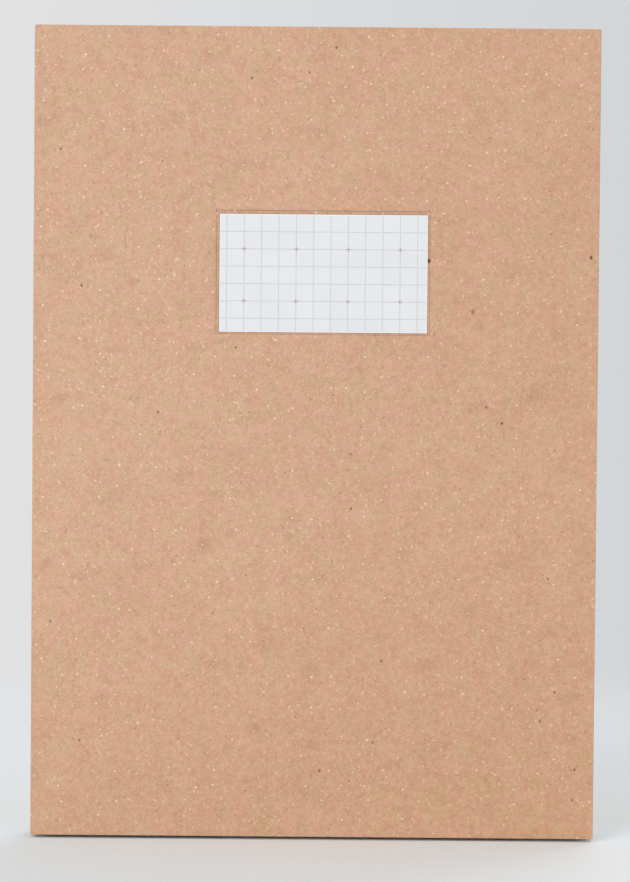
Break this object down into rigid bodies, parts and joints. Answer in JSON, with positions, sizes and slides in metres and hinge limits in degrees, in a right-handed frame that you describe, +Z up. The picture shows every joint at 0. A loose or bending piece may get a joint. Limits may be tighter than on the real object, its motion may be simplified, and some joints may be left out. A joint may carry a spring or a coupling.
{
  "type": "notebook",
  "caption": "Thread-sewn notebook with square kraft board covers, an open spine that shows its stitches and a ruled paper label set in a pressed panel.",
  "frame": {"origin": "centre of the book's footprint, on the surface that its tail edge stands on", "axes": "+Z up the book from tail to head, spine on -X and fore-edge on +X, front cover facing -Y"},
  "size_m": [0.1634, 0.0156, 0.234],
  "materials": {
    "kraft_board": "uncoated recycled kraft board, matt, with pale and dark fibre flecks",
    "label_paper": "smooth white paper with a pale grey 5 mm ruling and small red crosses",
    "page_paper": "uncoated white writing paper, matt, cut edges",
    "endpaper": "plain uncoated white endpaper, matt",
    "sewing_thread": "natural white twisted linen thread"
  },
  "bodies": {
    "front_cover": {"front_board": "kraft_board", "label": "label_paper", "front_pastedown": "endpaper"},
    "first_leaf": {"front_flyleaf": "endpaper"},
    "gathering_1": {"section_1_sheet_1": "page_paper", "section_1_sheet_2": "page_paper", "section_1_sheet_3": "page_paper", "section_1_sheet_4": "page_paper", "thread_1": "sewing_thread"},
    "gathering_2": {"section_2_sheet_1": "page_paper", "section_2_sheet_2": "page_paper", "section_2_sheet_3": "page_paper", "section_2_sheet_4": "page_paper", "thread_2": "sewing_thread"},
    "gathering_3": {"section_3_sheet_1": "page_paper", "section_3_sheet_2": "page_paper", "section_3_sheet_3": "page_paper", "section_3_sheet_4": "page_paper", "thread_3": "sewing_thread"},
    "gathering_4": {"section_4_sheet_1": "page_paper", "section_4_sheet_2": "page_paper", "section_4_sheet_3": "page_paper", "section_4_sheet_4": "page_paper", "thread_4": "sewing_thread"},
    "gathering_5": {"section_5_sheet_1": "page_paper", "section_5_sheet_2": "page_paper", "section_5_sheet_3": "page_paper", "section_5_sheet_4": "page_paper", "thread_5": "sewing_thread"},
    "gathering_6": {"section_6_sheet_1": "page_paper", "section_6_sheet_2": "page_paper", "section_6_sheet_3": "page_paper", "section_6_sheet_4": "page_paper", "thread_6": "sewing_thread"},
    "gathering_7": {"section_7_sheet_1": "page_paper", "section_7_sheet_2": "page_paper", "section_7_sheet_3": "page_paper", "section_7_sheet_4": "page_paper", "thread_7": "sewing_thread"},
    "gathering_8": {"section_8_sheet_1": "page_paper", "section_8_sheet_2": "page_paper", "section_8_sheet_3": "page_paper", "section_8_sheet_4": "page_paper", "thread_8": "sewing_thread"},
    "gathering_9": {"section_9_sheet_1": "page_paper", "section_9_sheet_2": "page_paper", "section_9_sheet_3": "page_paper", "section_9_sheet_4": "page_paper", "thread_9": "sewing_thread"},
    "last_leaf": {"rear_flyleaf": "endpaper"},
    "rear_cover": {"rear_pastedown": "endpaper", "rear_board": "kraft_board"}
  },
  "joints": [
    {"name": "section_4_fold", "type": "hinge", "parent": "gathering_5", "child": "gathering_4", "pos_m": [-0.08131, -0.0006, 0.117], "axis": [0, 0, -1], "range_deg": [0, 12]},
    {"name": "section_3_fold", "type": "hinge", "parent": "gathering_4", "child": "gathering_3", "pos_m": [-0.08131, -0.00178, 0.117], "axis": [0, 0, -1], "range_deg": [0, 12]},
    {"name": "section_2_fold", "type": "hinge", "parent": "gathering_3", "child": "gathering_2", "pos_m": [-0.08131, -0.00298, 0.117], "axis": [0, 0, -1], "range_deg": [0, 12]},
    {"name": "section_1_fold", "type": "hinge", "parent": "gathering_2", "child": "gathering_1", "pos_m": [-0.08131, -0.00417, 0.117], "axis": [0, 0, -1], "range_deg": [0, 12]},
    {"name": "front_flyleaf_fold", "type": "hinge", "parent": "gathering_1", "child": "first_leaf", "pos_m": [-0.08131, -0.00536, 0.117], "axis": [0, 0, -1], "range_deg": [0, 30]},
    {"name": "front_cover_hinge", "type": "hinge", "parent": "first_leaf", "child": "front_cover", "pos_m": [-0.08131, -0.00556, 0.117], "axis": [0, 0, -1], "range_deg": [0, 96]},
    {"name": "section_6_fold", "type": "hinge", "parent": "gathering_5", "child": "gathering_6", "pos_m": [-0.08131, 0.0006, 0.117], "axis": [0, 0, 1], "range_deg": [0, 12]},
    {"name": "section_7_fold", "type": "hinge", "parent": "gathering_6", "child": "gathering_7", "pos_m": [-0.08131, 0.00178, 0.117], "axis": [0, 0, 1], "range_deg": [0, 12]},
    {"name": "section_8_fold", "type": "hinge", "parent": "gathering_7", "child": "gathering_8", "pos_m": [-0.08131, 0.00298, 0.117], "axis": [0, 0, 1], "range_deg": [0, 12]},
    {"name": "section_9_fold", "type": "hinge", "parent": "gathering_8", "child": "gathering_9", "pos_m": [-0.08131, 0.00417, 0.117], "axis": [0, 0, 1], "range_deg": [0, 12]},
    {"name": "rear_flyleaf_fold", "type": "hinge", "parent": "gathering_9", "child": "last_leaf", "pos_m": [-0.08131, 0.00536, 0.117], "axis": [0, 0, 1], "range_deg": [0, 30]},
    {"name": "rear_cover_hinge", "type": "hinge", "parent": "last_leaf", "child": "rear_cover", "pos_m": [-0.08131, 0.00556, 0.117], "axis": [0, 0, 1], "range_deg": [0, 96]}
  ],
  "couplings": [
    {"joint": "section_4_fold", "follows": "front_cover_hinge", "ratio": 0.125},
    {"joint": "section_3_fold", "follows": "front_cover_hinge", "ratio": 0.125},
    {"joint": "section_2_fold", "follows": "front_cover_hinge", "ratio": 0.125},
    {"joint": "section_1_fold", "follows": "front_cover_hinge", "ratio": 0.125},
    {"joint": "front_flyleaf_fold", "follows": "front_cover_hinge", "ratio": 0.3125},
    {"joint": "section_6_fold", "follows": "rear_cover_hinge", "ratio": 0.125},
    {"joint": "section_7_fold", "follows": "rear_cover_hinge", "ratio": 0.125},
    {"joint": "section_8_fold", "follows": "rear_cover_hinge", "ratio": 0.125},
    {"joint": "section_9_fold", "follows": "rear_cover_hinge", "ratio": 0.125},
    {"joint": "rear_flyleaf_fold", "follows": "rear_cover_hinge", "ratio": 0.3125}
  ]
}
